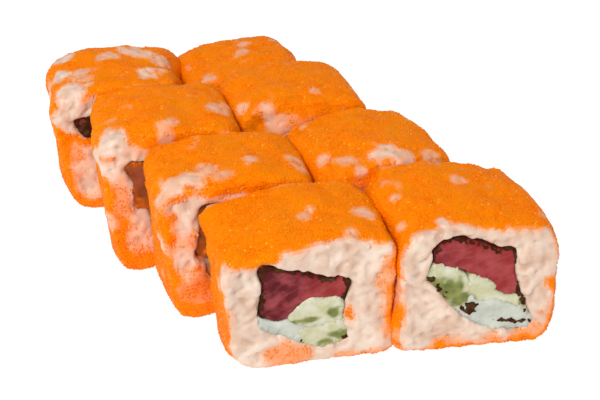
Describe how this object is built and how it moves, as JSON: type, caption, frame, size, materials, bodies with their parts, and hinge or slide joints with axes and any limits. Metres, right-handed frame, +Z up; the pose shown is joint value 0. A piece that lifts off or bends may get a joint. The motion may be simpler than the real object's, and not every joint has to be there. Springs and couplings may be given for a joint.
{
  "type": "uramaki roll",
  "caption": "Inside-out sushi roll cut into slices that stand pressed together in two rows: rice coated with orange roe round nori, tuna, cucumber and cream cheese.",
  "frame": {"origin": "middle of the base of the whole roll, where it rests", "axes": "+Y along the two rows from the front cut faces to the back ones, +X across the rows, +Z up"},
  "size_m": [0.1042, 0.1276, 0.0384],
  "materials": {
    "roe_coated_rice": "moist orange fish roe over white sushi rice",
    "nori": "thin dark moist seaweed sheet",
    "tuna": "raw dark red fish with pale fibres",
    "cucumber": "wet pale green flesh with dark green skin",
    "cream_cheese": "soft smooth white cheese"
  },
  "bodies": {
    "root": {"left_1_rice": "roe_coated_rice", "left_1_nori": "nori", "left_1_tuna": "tuna", "left_1_cucumber_1": "cucumber", "left_1_cucumber_2": "cucumber", "left_1_cheese": "cream_cheese", "left_2_rice": "roe_coated_rice", "left_2_nori": "nori", "left_2_tuna": "tuna", "left_2_cucumber_1": "cucumber", "left_2_cucumber_2": "cucumber", "left_2_cheese": "cream_cheese", "left_3_rice": "roe_coated_rice", "left_3_nori": "nori", "left_3_tuna": "tuna", "left_3_cucumber_1": "cucumber", "left_3_cucumber_2": "cucumber", "left_3_cheese": "cream_cheese", "left_4_rice": "roe_coated_rice", "left_4_nori": "nori", "left_4_tuna": "tuna", "left_4_cucumber_1": "cucumber", "left_4_cucumber_2": "cucumber", "left_4_cheese": "cream_cheese", "right_1_rice": "roe_coated_rice", "right_1_nori": "nori", "right_1_tuna": "tuna", "right_1_cucumber_1": "cucumber", "right_1_cucumber_2": "cucumber", "right_1_cheese": "cream_cheese", "right_2_rice": "roe_coated_rice", "right_2_nori": "nori", "right_2_tuna": "tuna", "right_2_cucumber_1": "cucumber", "right_2_cucumber_2": "cucumber", "right_2_cheese": "cream_cheese", "right_3_rice": "roe_coated_rice", "right_3_nori": "nori", "right_3_tuna": "tuna", "right_3_cucumber_1": "cucumber", "right_3_cucumber_2": "cucumber", "right_3_cheese": "cream_cheese", "right_4_rice": "roe_coated_rice", "right_4_nori": "nori", "right_4_tuna": "tuna", "right_4_cucumber_1": "cucumber", "right_4_cucumber_2": "cucumber", "right_4_cheese": "cream_cheese"}
  },
  "joints": []
}
